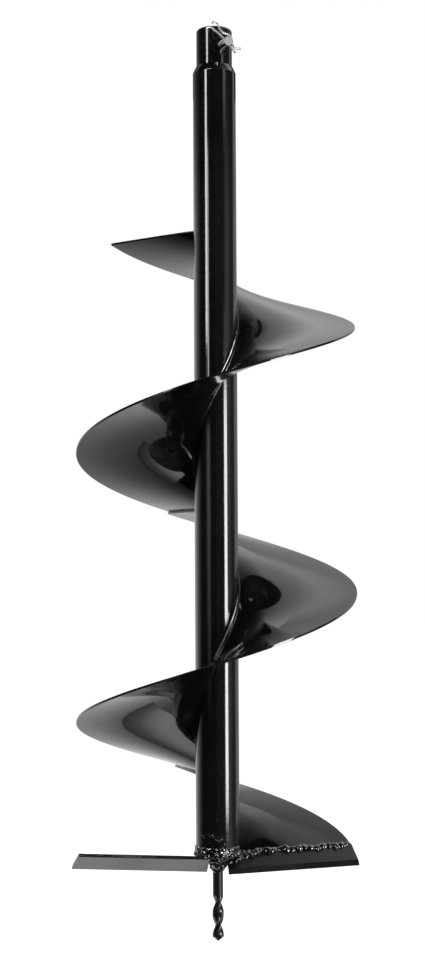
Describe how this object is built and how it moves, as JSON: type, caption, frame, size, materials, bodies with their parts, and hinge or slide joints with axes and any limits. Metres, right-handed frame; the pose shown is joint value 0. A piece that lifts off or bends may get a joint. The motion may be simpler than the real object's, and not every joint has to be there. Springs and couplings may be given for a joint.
{
  "type": "earth auger bit",
  "caption": "Right-hand screw flight on a tube shaft with two cutting blades, a twisted pilot bit and a pinned drive socket, for boring post holes.",
  "frame": {"origin": "on the axis of the drive socket, at its mouth", "axes": "+Z along the shaft towards the drive machine, -Z into the ground; +X along the blade that carries the flight's foot, to within 7 degrees"},
  "size_m": [0.2499, 0.245, 0.8002],
  "materials": {
    "black_gloss_paint": "gloss black paint over steel",
    "painted_weld": "gloss black paint over lumpy weld",
    "zinc_plate": "bright zinc plating, a little dull",
    "bright_wire": "bright plated spring wire"
  },
  "bodies": {
    "auger": {"shaft_tube": "black_gloss_paint", "drive_socket": "black_gloss_paint", "end_plug": "black_gloss_paint", "flight_top": "black_gloss_paint", "flight_middle": "black_gloss_paint", "flight_bottom": "black_gloss_paint", "blade_under_flight": "black_gloss_paint", "blade_opposite": "black_gloss_paint", "pilot_bit": "black_gloss_paint", "socket_weld": "painted_weld", "root_weld_top": "painted_weld", "root_weld_top_underside": "painted_weld", "root_weld_middle": "painted_weld", "root_weld_middle_underside": "painted_weld", "root_weld_bottom": "painted_weld", "root_weld_bottom_underside": "painted_weld", "lap_weld_upper": "painted_weld", "lap_weld_lower": "painted_weld", "blade_weld": "painted_weld", "hub_weld": "painted_weld", "pilot_weld": "painted_weld"},
    "pin": {"drive_pin": "zinc_plate"},
    "clip": {"r_clip": "bright_wire"}
  },
  "joints": [
    {"name": "pin_turn", "type": "hinge", "parent": "auger", "child": "pin", "pos_m": [0, 0, -0.0171], "axis": [0.454, -0.891, 0], "continuous": true},
    {"name": "clip_pull", "type": "slide", "parent": "pin", "child": "clip", "axis": [-0.658, -0.3353, 0.6743], "range_m": [0, 0.02], "deforming": ["r_clip"]}
  ]
}
